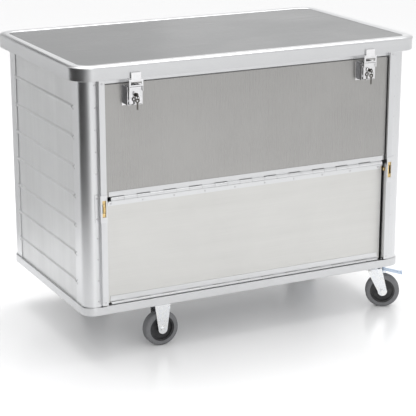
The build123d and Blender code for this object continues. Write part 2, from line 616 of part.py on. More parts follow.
# ---------------------------------------------------------------- side catches
def make_catches():
    """A bent cover plate with a slot, a brass guide plate and a sprung brass bolt on each side."""
    thick = CATCH_PLATE_THICK
    low_z = CATCH_Z - CATCH_PLATE_HEIGHT / 2
    high_z = CATCH_Z + CATCH_PLATE_HEIGHT / 2
    with BuildPart() as plate:
        add_block((-STRIP_OUT_X - thick, -STRIP_Y - thick, low_z), (-STRIP_IN_X, -STRIP_Y, high_z))
        add_block((-STRIP_OUT_X - thick, -STRIP_Y - thick, low_z), (-STRIP_OUT_X, -POST_Y, high_z))
        add_block(
            (-STRIP_OUT_X - POST_FRONT_FLANGE, -POST_Y - thick, low_z), (-STRIP_OUT_X, -POST_Y, high_z)
        )
        catch_slot_cut(STRIP_Y - 1, STRIP_Y + thick + 1)
    save(group([plate.part, plate.part.mirror(Plane.YZ)]), "catch_plates")

    middle = -(STRIP_OUT_X + STRIP_IN_X) / 2
    inner = STRIP_WIDTH / 2 - STRIP_WALL
    front = -STRIP_Y + STRIP_WALL
    with BuildPart() as guide:
        add_block(
            (middle - inner, front, CATCH_Z - CATCH_SLOT[1] / 2 - 6),
            (middle + inner, front + 1.2, CATCH_Z + CATCH_SLOT[1] / 2 + 6),
        )
        add_block(
            (middle - CATCH_SLOT[0] / 2 + 1, front - 1, CATCH_Z - CATCH_WINDOW / 2),
            (middle + CATCH_SLOT[0] / 2 - 1, front + 2, CATCH_Z + CATCH_WINDOW / 2),
            mode=Mode.SUBTRACT,
        )
    save(group([guide.part, guide.part.mirror(Plane.YZ)]), "catch_guides")

    nose_y = -(STRIP_Y + STRIP_BACK_Y) / 2
    body_high = -STRIP_IN_X - STRIP_WALL - 0.5
    body_low = body_high - CATCH_BOLT_WIDTH
    with BuildPart() as bolt:
        add_block(
            (body_low, front + 1.5, CATCH_Z - 14), (body_high, -STRIP_BACK_Y - STRIP_WALL - 0.3, CATCH_Z + 14)
        )
        add_block((body_low, nose_y - 5, CATCH_Z - 5), (-STRIP_IN_X + 3.0, nose_y + 5, CATCH_Z + 5))
        tab_high = middle + CATCH_SLOT[0] / 2 - 1.5
        add_block(
            (tab_high - 4.0, front - 1.0, CATCH_Z - 12), (tab_high, front + 2.0, CATCH_Z + 5)
        )
    save(bolt.part, "catch_bolt_left")
    save(bolt.part.mirror(Plane.YZ), "catch_bolt_right")


# ---------------------------------------------------------------- latches
def key_outline(bow_center, blade_length):
    """A flat key in the XZ plane, bow at the given point, blade pointing down."""
    with BuildPart() as key:
        with BuildSketch(Plane.XZ.offset(-KEY_THICK / 2)):
            with Locations(bow_center):
                Circle(KEY_BOW_RADIUS)
            blade_middle = bow_center[1] - KEY_BOW_RADIUS - blade_length / 2 + 1.0
            with Locations((bow_center[0], blade_middle)):
                Rectangle(5.6, blade_length + 2.0)
            for index in range(3):
                notch_z = bow_center[1] - KEY_BOW_RADIUS - blade_length + 4.0 + index * 5.0
                with Locations((bow_center[0] + 2.8, notch_z)):
                    Rectangle(2.0, 2.0, rotation=45, mode=Mode.SUBTRACT)
            with Locations(bow_center):
                Circle(KEY_HOLE_RADIUS, mode=Mode.SUBTRACT)
        extrude(amount=KEY_THICK)
    return key.part


def make_latches():
    face = -FLAP_Y
    plate_y = face - LATCH_BASE[2]
    pivot = (face - LEVER_PIVOT_OUT, FLAP_TOP - LEVER_PIVOT_DROP)
    bail_pivot = (pivot[0], pivot[1] - BAIL_ARM_DROP)
    lock_z = FLAP_TOP - LOCK_DROP
    base_top = FLAP_TOP - LATCH_BASE_TOP
    base_low = base_top - LATCH_BASE[1]
    lever_top = base_top - 4.0
    lever_low = lever_top - LEVER_HEIGHT
    case_front = plate_y - LATCH_CASE_DEPTH
    lever_back = case_front - 2.5
    lever_face = lever_back - LEVER_THICK
    half_case = LATCH_CASE_WIDTH / 2
    half_lever = LEVER_WIDTH / 2
    half_bail = BAIL_WIDTH / 2
    pin_radius = 2.0
    stud_radius = 1.2

    bases = []
    pins = []
    keepers = []
    for side, x in (("left", -LATCH_X), ("right", LATCH_X)):
        with BuildPart() as base:
            add_block(
                (x - LATCH_BASE[0] / 2, plate_y, base_low), (x + LATCH_BASE[0] / 2, face, base_top)
            )
            add_block((x - half_case, case_front, base_low + 4), (x + half_case, plate_y, base_top - 2))
            add_block(
                (x - half_case + LATCH_WALL, case_front - 1, base_low + 4 + LATCH_WALL),
                (x + half_case - LATCH_WALL, plate_y, base_top),
                mode=Mode.SUBTRACT,
            )
            add(rod((x - half_case - 1, pivot[0], pivot[1]), (1, 0, 0), pin_radius, 2 * half_case + 2),
                mode=Mode.SUBTRACT)
        bases.append(base.part)
        pins.append(rod((x - half_case, pivot[0], pivot[1]), (1, 0, 0), pin_radius, 2 * half_case))

        with BuildPart() as lever:
            add_block((x - half_lever, lever_face, lever_low), (x + half_lever, lever_back, lever_top))
            for sign in (-1, 1):
                outer = x + sign * (half_lever - 0.4)
                inner = x + sign * (half_lever - 0.4 - LATCH_WALL)
                low_x, high_x = min(outer, inner), max(outer, inner)
                add_block((low_x, lever_back, pivot[1] - 10), (high_x, pivot[0] + 4, lever_top - 1))
                add(rod((low_x, pivot[0], pivot[1]), (1, 0, 0), 4.0, high_x - low_x))
                add(rod((outer, bail_pivot[0], bail_pivot[1]), (sign, 0, 0), stud_radius,
                        half_bail - half_lever + 0.4))
            add(rod((x - half_case, pivot[0], pivot[1]), (1, 0, 0), pin_radius + PIN_CLEARANCE,
                    2 * half_case), mode=Mode.SUBTRACT)
            add(rod((x, lever_face - 2.0, lock_z), (0, 1, 0), HOUSING_RADIUS, 20.0))
            add(rod((x, lever_face - 3.0, lock_z), (0, 1, 0), CORE_RADIUS + PIN_CLEARANCE, 24.0),
                mode=Mode.SUBTRACT)
            fillet(lever.edges().filter_by(Axis.Y).group_by(Axis.Z)[0], 2.0)
        save(lever.part, f"latch_lever_{side}")

        bail_face = lever_face - 7.0
        bail_back = bail_face + BAIL_PLATE
        bail_low = lever_top + 3.0
        hook_z = BAND_BOTTOM + 17.0
        with BuildPart() as bail:
            add_block((x - half_bail, bail_face, bail_low), (x + half_bail, bail_back, BAND_BOTTOM - 3))
            add_block((x - 17, bail_face, bail_low), (x + 17, bail_back, hook_z + 2.0))
            add_block((x - 17, bail_back, hook_z), (x + 17, -BAND_Y - 1.0, hook_z + 2.0))
            add_block(
                (x - 19, bail_face - 1, bail_low + 5), (x + 19, bail_back + 1, bail_low + 15),
                mode=Mode.SUBTRACT,
            )
            for sign in (-1, 1):
                outer = x + sign * half_bail
                inner = outer - sign * LATCH_WALL
                low_x, high_x = min(outer, inner), max(outer, inner)
                add_block(
                    (low_x, bail_face, bail_pivot[1] - 2.3), (high_x, bail_face + 5, bail_low + 1)
                )
                add_block(
                    (low_x, bail_face, bail_pivot[1] - 2.3), (high_x, bail_pivot[0], bail_pivot[1] + 2.3)
                )
                add(rod((low_x, bail_pivot[0], bail_pivot[1]), (1, 0, 0), 2.3, LATCH_WALL))
                add(rod((low_x - 1, bail_pivot[0], bail_pivot[1]), (1, 0, 0),
                        stud_radius + PIN_CLEARANCE, LATCH_WALL + 2), mode=Mode.SUBTRACT)
        save(bail.part, f"latch_bail_{side}")

        with BuildPart() as keeper:
            add_block((x - 16, -BAND_Y - 3.5, BAND_BOTTOM + 2), (x + 16, -BAND_Y, hook_z - 1.0))
            fillet(keeper.edges().filter_by(Axis.Y), 2.0)
        keepers.append(keeper.part)

        bow_y = lever_face - 14.0
        with BuildPart() as core:
            add(rod((x, lever_face - 3.0, lock_z), (0, 1, 0), CORE_RADIUS, 21.0))
            add_block((x - 3, lever_face + 18.0, lock_z - 5), (x + 3, lever_face + 20.0, lock_z + 13))
            add_block(
                (x - KEY_THICK / 2, lever_face - 4, lock_z - 2.8),
                (x + KEY_THICK / 2, lever_face + 16.2, lock_z + 2.8),
                mode=Mode.SUBTRACT,
            )
        save(core.part, f"lock_core_{side}")
        blade = 22.0
        key = key_outline((0, 0), blade)
        lock_key = Location((x, bow_y, lock_z)) * (Rotation(0, 0, 90) * (Rotation(0, -90, 0) * key))
        save(lock_key, f"lock_key_{side}")

        wire_z = lock_z - KEY_HOLE_RADIUS + RING_WIRE + RING_SLACK
        ring_z = wire_z - RING_RADIUS
        with BuildPart() as key_ring:
            with BuildSketch(
                Plane(origin=(x, bow_y, ring_z + RING_RADIUS), x_dir=(0, 0, 1), z_dir=(1, -1, 0))
            ):
                Circle(RING_WIRE)
            revolve(axis=Axis((x, bow_y, ring_z), (1, 1, 0)), revolution_arc=360)
        spare_z = ring_z - RING_RADIUS - (KEY_HOLE_RADIUS - RING_WIRE - RING_SLACK)
        spare = Location((x, bow_y, spare_z)) * key
        save(group([key_ring.part, spare]), f"spare_key_{side}")
    save(group(bases), "latch_bases")
    save(group(pins), "latch_pins")
    save(group(keepers), "latch_keepers")


# ---------------------------------------------------------------- castors
def leg_profile(top_low, top_high, top_z, axle_x, axle_z, boss):
    """Side outline of a fork leg: wide at the top, round at the axle."""
    left = Vector(top_low, top_z)
    right = Vector(top_high, top_z)
    with BuildSketch(Plane.XZ) as outline:
        with BuildLine():
            Polyline(
                (left.X, left.Y), (axle_x - boss, axle_z), (axle_x + boss, axle_z), (right.X, right.Y),
                close=True,
            )
        make_face()
        with Locations((axle_x, axle_z)):
            Circle(boss)
            Circle(AXLE_RADIUS + 0.1, mode=Mode.SUBTRACT)
    return outline.sketch


def fork_legs(top_low, top_high, top_z, axle_x):
    """Both legs of a fork about y = 0."""
    inner = HUB_WIDTH / 2 + FORK_GAP
    profile = leg_profile(top_low, top_high, top_z, axle_x, WHEEL_RADIUS, 17.0)
    with BuildPart() as legs:
        for low in (inner, -inner - FORK_WALL):
            with BuildSketch(Plane.XZ.offset(-low - FORK_WALL)):
                add(profile)
            extrude(amount=FORK_WALL)
    return legs.part


def castor_plate():
    length, width, thick = CASTOR_PLATE
    with BuildPart() as plate:
        with BuildSketch(Plane.XY.offset(CASTOR_HEIGHT - thick)):
            RectangleRounded(length, width, 8.0)
            with GridLocations(BOLT_SPACING[0], BOLT_SPACING[1], 2, 2):
                Circle(BOLT_RADIUS + 0.2, mode=Mode.SUBTRACT)
        extrude(amount=thick)
    return plate.part


def fixed_fork():
    half = HUB_WIDTH / 2 + FORK_GAP + FORK_WALL
    web = CASTOR_HEIGHT - CASTOR_PLATE[2]
    with BuildPart() as fork:
        add(castor_plate())
        add(fork_legs(-31.0, 31.0, web, 0.0))
        add_block((-31, -half, web - FORK_WALL), (31, half, web))
    return fork.part


def axle_bolt(axle_x):
    """Through bolt with a hexagon head and nut, along Y."""
    half = HUB_WIDTH / 2 + FORK_GAP + FORK_WALL
    with BuildPart() as bolt:
        add(rod((axle_x, -half, WHEEL_RADIUS), (0, 1, 0), AXLE_RADIUS, 2 * half))
        for start in (-half - 5.0, half):
            with BuildSketch(Plane(origin=(axle_x, start, WHEEL_RADIUS), z_dir=(0, 1, 0))):
                RegularPolygon(8.5, 6)
            extrude(amount=5.0)
    return bolt.part


def swivel_plate():
    """Top plate with the fixed ball race and the kingpin, whose head carries the fork."""
    bottom = CASTOR_HEIGHT - CASTOR_PLATE[2]
    race = bottom - 12.0
    with BuildPart() as plate:
        add(castor_plate())
        add(rod((0, 0, race), (0, 0, 1), 30.0, 12.0))
        fillet(plate.faces().sort_by(Axis.Z)[0].edges(), 3.0)
        add(rod((0, 0, race - 14.0), (0, 0, 1), KINGPIN_RADIUS, 20.0))
        add(rod((0, 0, race - 14.0 - TOUCH_GAP), (0, 0, 1), 10.5, 5.0))
    return plate.part


def swivel_fork():
    race = CASTOR_HEIGHT - CASTOR_PLATE[2] - 12.0
    crown_top = race - TOUCH_GAP
    crown_low = race - 14.0 + 5.0
    half = HUB_WIDTH / 2 + FORK_GAP + FORK_WALL
    with BuildPart() as fork:
        add(fork_legs(-24.0, 34.0, crown_top, SWIVEL_TRAIL))
        add_block((-24, -half, crown_low), (34, half, crown_top))
        add(rod((0, 0, crown_low), (0, 0, 1), 29.0, crown_top - crown_low))
        add(rod((0, 0, crown_low - 1), (0, 0, 1), KINGPIN_RADIUS + PIN_CLEARANCE, 20.0), mode=Mode.SUBTRACT)
        for sign in (-1, 1):
            add(rod((PEDAL_PIVOT[0], sign * (half - FORK_WALL), PEDAL_PIVOT[1]), (0, sign, 0),
                    4.0, FORK_WALL))
        add(rod((PEDAL_PIVOT[0], -half - 1, PEDAL_PIVOT[1]), (0, 1, 0), 3.0, 2 * half + 2),
            mode=Mode.SUBTRACT)
        add(rod((PEDAL_PIVOT[0], -half, PEDAL_PIVOT[1]), (0, 1, 0), 3.0, 2 * half))
    return fork.part


def brake_pedal():
    """A pressed pedal on a cross pin through the fork, sloping down past the wheel."""
    px, pz = PEDAL_PIVOT
    plane = Plane(origin=(px, 0, pz), x_dir=(cos(radians(PEDAL_SLOPE)), 0, -sin(radians(PEDAL_SLOPE))),
                  z_dir=(sin(radians(PEDAL_SLOPE)), 0, cos(radians(PEDAL_SLOPE))))
    reach = (PEDAL_REACH - px) / cos(radians(PEDAL_SLOPE))
    inner = HUB_WIDTH / 2 + FORK_GAP - 0.6
    with BuildPart() as pedal:
        add(rod((px, -inner, pz), (0, 1, 0), 6.0, 2 * inner))
        with BuildSketch(plane.offset(2.0)):
            with Locations((reach / 2, 0)):
                Rectangle(reach, 34.0)
            with Locations((reach * 0.55, 0)):
                SlotOverall(reach * 0.5, 8.0, mode=Mode.SUBTRACT)
        extrude(amount=2.5)
        with BuildSketch(plane.offset(2.0)):
            with Locations((reach - 1.25, 0)):
                Rectangle(2.5, 34.0)
        extrude(amount=7.0)
        add(rod((px, -inner - 1, pz), (0, 1, 0), 3.0 + PIN_CLEARANCE, 2 * inner + 2), mode=Mode.SUBTRACT)
    return pedal.part


def wheel_core(axle_x):
    """Plastic wheel centre: rim, web and hub, turned about the axle."""
    radius = WHEEL_RADIUS - TYRE_THICK
    with BuildPart() as core:
        with BuildSketch(Plane.XZ):
            with Locations((axle_x, WHEEL_RADIUS)):
                Circle(radius)
                Circle(AXLE_RADIUS + PIN_CLEARANCE, mode=Mode.SUBTRACT)
        extrude(amount=WHEEL_WIDTH / 2 - 3.0, both=True)
        for side in (-1, 1):
            start = side * (WHEEL_WIDTH / 2 - 3.0)
            with BuildSketch(Plane(origin=(axle_x, start, WHEEL_RADIUS), z_dir=(0, side, 0))):
                Circle(radius - 6.0)
                Circle(16.0, mode=Mode.SUBTRACT)
            extrude(amount=-8.0, mode=Mode.SUBTRACT)
            with BuildSketch(Plane(origin=(axle_x, start, WHEEL_RADIUS), z_dir=(0, side, 0))):
                Circle(14.0)
                Circle(AXLE_RADIUS + PIN_CLEARANCE, mode=Mode.SUBTRACT)
            extrude(amount=HUB_WIDTH / 2 - abs(start))
    return core.part


def tyre(axle_x):
    """Rounded tyre on the wheel centre."""
    radius = WHEEL_RADIUS - TYRE_THICK
    with BuildPart() as piece:
        with BuildSketch(Plane.XZ):
            with Locations((axle_x, WHEEL_RADIUS)):
                Circle(WHEEL_RADIUS)
                Circle(radius, mode=Mode.SUBTRACT)
        extrude(amount=WHEEL_WIDTH / 2, both=True)
        outer = piece.edges().filter_by(GeomType.CIRCLE).group_by(SortBy.RADIUS)[-1]
        fillet(outer, 9.0)
    return piece.part


def castor_bolt_set():
    """Four hexagon-headed bolts about a castor's centre, heads under the plate."""
    under = CASTOR_HEIGHT - CASTOR_PLATE[2]
    bolts = []
    for sx in (-1, 1):
        for sy in (-1, 1):
            x = sx * BOLT_SPACING[0] / 2
            y = sy * BOLT_SPACING[1] / 2
            with BuildPart() as bolt:
                with BuildSketch(Plane.XY.offset(under - BOLT_HEAD_HEIGHT)):
                    with Locations((x, y)):
                        RegularPolygon(BOLT_HEAD, 6)
                extrude(amount=BOLT_HEAD_HEIGHT)
                add(rod((x, y, under), (0, 0, 1), BOLT_RADIUS, CASTOR_PLATE[2] + 6.0))
                with BuildSketch(Plane.XY.offset(CASTOR_HEIGHT + RAIL_THICK)):
                    with Locations((x, y)):
                        RegularPolygon(BOLT_HEAD, 6)
                extrude(amount=5.0)
            bolts.append(bolt.part)
    return bolts


def make_castors():
    fixed = {"front": Location((FIXED_CASTOR_X, -CASTOR_Y, 0)),
             "rear": Location((FIXED_CASTOR_X, CASTOR_Y, 0))}
    plates = {"front": Location((SWIVEL_CASTOR_X, -CASTOR_Y, 0)),
              "rear": Location((SWIVEL_CASTOR_X, CASTOR_Y, 0))}
    turned = {end: plates[end] * Location((0, 0, 0), (0, 0, SWIVEL_REST[end])) for end in plates}
    fork = fixed_fork()
    axle = axle_bolt(0.0)
    save(group([fixed[end] * fork for end in fixed]), "fixed_castor_forks")
    save(group([fixed[end] * axle for end in fixed]), "fixed_castor_axles")
    plate = swivel_plate()
    save(group([plates[end] * plate for end in plates]), "swivel_castor_plates")
    bolts = castor_bolt_set()
    places = list(fixed.values()) + list(plates.values())
    save(group([place * bolt for place in places for bolt in bolts]), "castor_bolts")
    moving = swivel_fork()
    trailing_axle = axle_bolt(SWIVEL_TRAIL)
    pedal = brake_pedal()
    for end in turned:
        save(turned[end] * moving, f"swivel_fork_{end}")
        save(turned[end] * trailing_axle, f"swivel_axle_{end}")
        save(turned[end] * pedal, f"brake_pedal_{end}")
        save(turned[end] * wheel_core(SWIVEL_TRAIL), f"swivel_wheel_core_{end}")
        save(turned[end] * tyre(SWIVEL_TRAIL), f"swivel_tyre_{end}")
        save(fixed[end] * wheel_core(0.0), f"fixed_wheel_core_{end}")
        save(fixed[end] * tyre(0.0), f"fixed_tyre_{end}")


# ---------------------------------------------------------------- rivets
def spaced(low, high, pitch):
    """Evenly spaced places between two ends, at about the given pitch."""
    count = max(2, round((high - low) / pitch) + 1)
    step = (high - low) / (count - 1)
    return [low + i * step for i in range(count)]


def make_rivets():
    rivets = []
    flange_x = STRIP_OUT_X + POST_FRONT_FLANGE / 2
    side_y = POST_Y - POST_RADIUS - POST_SIDE_FLANGE + 9.0
    rear_x = POST_X - POST_RADIUS - POST_SIDE_FLANGE + 9.0
    for sx in (-1, 1):
        for z in spaced(RIM_TOP + 20, BAND_BOTTOM - 20, FLANGE_RIVET_PITCH):
            on_plate = abs(z - CATCH_Z) < CATCH_PLATE_HEIGHT / 2 + RIVET_RADIUS
            if not on_plate:
                rivets.append(rivet((sx * flange_x, -POST_Y, z), (0, -1, 0)))
        for z in (CATCH_Z - CATCH_PLATE_HEIGHT / 2 + 12, CATCH_Z + CATCH_PLATE_HEIGHT / 2 - 12):
            rivets.append(rivet((sx * (flange_x + 1), -POST_Y - CATCH_PLATE_THICK, z), (0, -1, 0)))
        strip_x = sx * (STRIP_OUT_X + STRIP_IN_X) / 2
        for z in (STRIP_BOTTOM + 10, STRIP_TOP - 10):
            rivets.append(rivet((strip_x, -STRIP_Y, z), (0, -1, 0)))
        for index in range(BEAD_COUNT):
            bead_z = CASTOR_HEIGHT + BEAD_FIRST + index * BEAD_PITCH
            for z in (bead_z + 6.0, bead_z - 6.0):
                for sy in (-1, 1):
                    rivets.append(rivet((sx * POST_X, sy * side_y, z), (sx, 0, 0)))
                rivets.append(rivet((sx * rear_x, POST_Y, z), (0, 1, 0)))
    save(group(rivets), "frame_rivets")
    leaf_half = STRIP_IN_X - MID_LEAF_END_GAP - 12.0
    leaf_y = -PANEL_Y - MID_LEAF_THICK
    leaf_z = PANEL_TOP - MID_LOWER_LEAF / 2 - 2.0
    leaf_rivets = [rivet((x, leaf_y, leaf_z), (0, -1, 0))
                   for x in spaced(-leaf_half, leaf_half, LEAF_RIVET_PITCH)]
    save(group(leaf_rivets), "lower_panel_rivets")


make_bottom_rim()
make_floor()
make_castor_rails()
make_posts()
make_guide_strips()
make_walls()
make_top_rim()
make_front_rail()
make_lid()
make_lid_hinges()
make_front()
make_catches()
make_latches()
make_castors()
make_rivets()
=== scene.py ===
"""Looks for the closed aluminium housekeeping cart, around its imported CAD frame."""
import math

import bmesh
import bpy
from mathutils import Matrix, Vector


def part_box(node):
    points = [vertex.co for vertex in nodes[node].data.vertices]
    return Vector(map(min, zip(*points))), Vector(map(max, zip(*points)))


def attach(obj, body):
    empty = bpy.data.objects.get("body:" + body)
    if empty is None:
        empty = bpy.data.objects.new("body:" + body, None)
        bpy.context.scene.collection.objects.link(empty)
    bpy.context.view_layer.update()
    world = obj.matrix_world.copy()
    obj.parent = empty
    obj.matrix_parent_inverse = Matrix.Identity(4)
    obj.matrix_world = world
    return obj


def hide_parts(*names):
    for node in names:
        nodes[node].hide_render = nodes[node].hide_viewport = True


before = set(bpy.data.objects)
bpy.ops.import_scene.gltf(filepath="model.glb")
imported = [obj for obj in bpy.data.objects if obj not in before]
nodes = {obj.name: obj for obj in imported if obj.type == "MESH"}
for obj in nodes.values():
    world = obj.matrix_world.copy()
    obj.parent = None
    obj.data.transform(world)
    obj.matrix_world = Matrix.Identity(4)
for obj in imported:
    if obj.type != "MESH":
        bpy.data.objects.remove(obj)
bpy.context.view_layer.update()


# ---------------------------------------------------------------- material helpers
class Nodes:
    """A small wrapper that adds and links shader nodes."""

    def __init__(self, name):
        self.material = bpy.data.materials.new(name)
        self.material.use_nodes = True
        self.tree = self.material.node_tree
        self.shader = self.tree.nodes["Principled BSDF"]
        self.coords = self.tree.nodes.new("ShaderNodeTexCoord").outputs["Object"]

    def link(self, a, b):
        self.tree.links.new(a, b)

    def stretched(self, scale):
        mapping = self.tree.nodes.new("ShaderNodeMapping")
        mapping.inputs["Scale"].default_value = scale
        self.link(self.coords, mapping.inputs["Vector"])
        return mapping.outputs["Vector"]

    def noise(self, scale, detail=3.0, rough=0.55, distortion=0.0):
        tex = self.tree.nodes.new("ShaderNodeTexNoise")
        tex.inputs["Scale"].default_value = 1.0
        tex.inputs["Detail"].default_value = detail
        tex.inputs["Roughness"].default_value = rough
        tex.inputs["Distortion"].default_value = distortion
        self.link(self.stretched(scale), tex.inputs["Vector"])
        return tex.outputs["Fac"]

    def remap(self, value, low, high, to_low, to_high):
        node = self.tree.nodes.new("ShaderNodeMapRange")
        for key, number in zip(("From Min", "From Max", "To Min", "To Max"), (low, high, to_low, to_high)):
            node.inputs[key].default_value = number
        self.link(value, node.inputs["Value"])
        return node.outputs["Result"]

    def math(self, kind, a, b):
        node = self.tree.nodes.new("ShaderNodeMath")
        node.operation = kind
        for index, value in enumerate((a, b)):
            if isinstance(value, (int, float)):
                node.inputs[index].default_value = value
            else:
                self.link(value, node.inputs[index])
        return node.outputs[0]

    def mix(self, factor, a, b):
        node = self.tree.nodes.new("ShaderNodeMix")
        node.data_type = "RGBA"
        for socket, value in zip((node.inputs[0], node.inputs[6], node.inputs[7]), (factor, a, b)):
            if isinstance(value, (int, float)):
                socket.default_value = value
            elif isinstance(value, tuple):
                socket.default_value = (*value, 1.0)
            else:
                self.link(value, socket)
        return node.outputs[2]

    def bump(self, height, strength, distance, normal=None):
        node = self.tree.nodes.new("ShaderNodeBump")
        node.inputs["Strength"].default_value = strength
        node.inputs["Distance"].default_value = distance
        self.link(height, node.inputs["Height"])
        if normal is not None:
            self.link(normal, node.inputs["Normal"])
        return node.outputs["Normal"]

    def edge_wear(self, low, high):
        geometry = self.tree.nodes.new("ShaderNodeNewGeometry")
        return self.remap(geometry.outputs["Pointiness"], low, high, 0.0, 1.0)

    def finish(self, color, rough, normal, metallic):
        self.link(color, self.shader.inputs["Base Color"])
        self.link(rough, self.shader.inputs["Roughness"])
        self.link(normal, self.shader.inputs["Normal"])
        self.shader.inputs["Metallic"].default_value = metallic
        return self.material


def shade(color, factor):
    """A color made darker or brighter by a factor, kept within white."""
    return tuple(min(channel * factor, 1.0) for channel in color)


def sheet_metal(name, color, rough, along, grain, streak, cloud, streak_pitch=22.0):
    """Rolled or brushed sheet: fine grain along one axis, broad streaks, faint clouding, scratches."""
    n = Nodes(name)
    fine = [1400.0] * 3
    fine[along] = 5.0
    broad = [streak_pitch] * 3
    broad[along] = 1.1
    hair = n.noise(tuple(fine), 2.0)
    band = n.noise(tuple(broad), 3.0, 0.6)
    haze = n.noise((2.6, 2.6, 2.6), 4.0, 0.6, 0.4)
    scratch = [260.0] * 3
    scratch[along] = 3.0
    scratches = n.remap(n.noise(tuple(scratch), 5.0, 0.75), 0.66, 0.72, 0.0, 1.0)
    tone = n.math("ADD", n.remap(hair, 0.3, 0.7, -grain, grain), n.remap(band, 0.3, 0.7, -streak, streak))
    tone = n.math("ADD", tone, n.remap(haze, 0.3, 0.7, -cloud, cloud))
    tone = n.math("ADD", tone, 0.5)
    base = n.mix(tone, shade(color, 0.5), shade(color, 1.5))
    base = n.mix(n.math("MULTIPLY", scratches, 0.16), base, shade(color, 1.35))
    roughness = n.math("ADD", n.remap(hair, 0.3, 0.7, rough - 0.05, rough + 0.05),
                       n.remap(haze, 0.3, 0.7, -0.035, 0.035))
    normal = n.bump(hair, 0.02, 0.0002)
    normal = n.bump(band, 0.02, 0.002, normal)
    return n.finish(base, roughness, normal, 1.0)


def extrusion(name, color, rough, along=None):
    """Satin anodised profile: die lines along its length, faint handling marks, brighter edges."""
    n = Nodes(name)
    lines = [900.0, 900.0, 900.0]
    if along is None:
        lines = [4.0, 4.0, 1100.0]
    else:
        lines[along] = 2.0
    die = n.noise(tuple(lines), 2.0)
    haze = n.noise((9.0, 9.0, 9.0), 5.0, 0.65, 0.6)
    specks = n.remap(n.noise((310.0, 310.0, 310.0), 2.0), 0.72, 0.8, 0.0, 1.0)
    tone = n.math("ADD", n.remap(die, 0.3, 0.7, -0.02, 0.02), n.remap(haze, 0.3, 0.7, -0.02, 0.02))
    tone = n.math("ADD", tone, 0.5)
    base = n.mix(tone, shade(color, 0.5), shade(color, 1.5))
    base = n.mix(n.math("MULTIPLY", specks, 0.08), base, shade(color, 0.72))
    base = n.mix(n.math("MULTIPLY", n.edge_wear(0.52, 0.6), 0.5), base, shade(color, 1.2))
    roughness = n.math("ADD", n.remap(die, 0.3, 0.7, rough - 0.015, rough + 0.015),
                       n.remap(haze, 0.3, 0.7, -0.01, 0.02))
    normal = n.bump(die, 0.012, 0.0001)
    normal = n.bump(specks, 0.04, 0.0001, normal)
    return n.finish(base, roughness, normal, 1.0)


def zinc(name, color):
    """Bright zinc plating: a faint blue and straw bloom, small spangles, a few rub marks."""
    n = Nodes(name)
    bloom = n.noise((26.0, 26.0, 26.0), 3.0, 0.6, 1.2)
    fine = n.noise((420.0, 420.0, 420.0), 3.0)
    rub = n.remap(n.noise((90.0, 700.0, 90.0), 3.0, 0.7), 0.62, 0.7, 0.0, 1.0)
    base = n.mix(n.remap(bloom, 0.35, 0.65, 0.0, 1.0), shade(color, 0.93), (0.80, 0.79, 0.76))
    base = n.mix(n.remap(fine, 0.35, 0.65, 0.0, 0.2), base, (0.60, 0.66, 0.76))
    base = n.mix(n.math("MULTIPLY", rub, 0.2), base, (0.5, 0.5, 0.5))
    roughness = n.remap(fine, 0.3, 0.7, 0.2, 0.34)
    normal = n.bump(fine, 0.08, 0.0003)
    return n.finish(base, roughness, normal, 1.0)


def plated(name, color, rough, tarnish, amount):
    """Plated or plain small metal: polish swirls, tarnish in patches, brighter worn edges."""
    n = Nodes(name)
    patch = n.noise((120.0, 120.0, 120.0), 4.0, 0.6, 0.8)
    fine = n.noise((1500.0, 1500.0, 400.0), 2.0)
    base = n.mix(n.remap(patch, 0.4, 0.7, 0.0, amount), shade(color, 1.0), tarnish)
    base = n.mix(n.math("MULTIPLY", n.edge_wear(0.52, 0.62), 0.5), base, shade(color, 1.25))
    roughness = n.math("ADD", n.remap(fine, 0.3, 0.7, rough - 0.04, rough + 0.04),
                       n.remap(patch, 0.3, 0.7, -0.03, 0.06))
    normal = n.bump(fine, 0.05, 0.0001)
    return n.finish(base, roughness, normal, 1.0)


def moulded(name, color, rough):
    """Black moulded plastic with a fine spark-eroded texture and dust in patches."""
    n = Nodes(name)
    grain = n.noise((1300.0, 1300.0, 1300.0), 3.0)
    dust = n.noise((45.0, 45.0, 45.0), 4.0, 0.65, 0.5)
    base = n.mix(n.remap(dust, 0.45, 0.75, 0.0, 0.35), color, (0.11, 0.108, 0.1))
    roughness = n.remap(grain, 0.3, 0.7, rough - 0.08, rough + 0.1)
    normal = n.bump(grain, 0.2, 0.0003)
    return n.finish(base, roughness, normal, 0.0)


def rubber(name, color):
    """Grey solid rubber: fine pores, scuffs round the running surface, a little floor dust."""
    n = Nodes(name)
    pores = n.noise((900.0, 900.0, 900.0), 4.0, 0.6)
    scuff = n.noise((60.0, 60.0, 60.0), 5.0, 0.7, 1.0)
    base = n.mix(n.remap(scuff, 0.35, 0.7, 0.0, 1.0), shade(color, 0.88), shade(color, 1.18))
    base = n.mix(n.remap(pores, 0.55, 0.75, 0.0, 0.3), base, shade(color, 0.6))
    roughness = n.remap(scuff, 0.3, 0.7, 0.5, 0.72)
    normal = n.bump(pores, 0.25, 0.0004)
    normal = n.bump(scuff, 0.1, 0.001, normal)
    return n.finish(base, roughness, normal, 0.0)


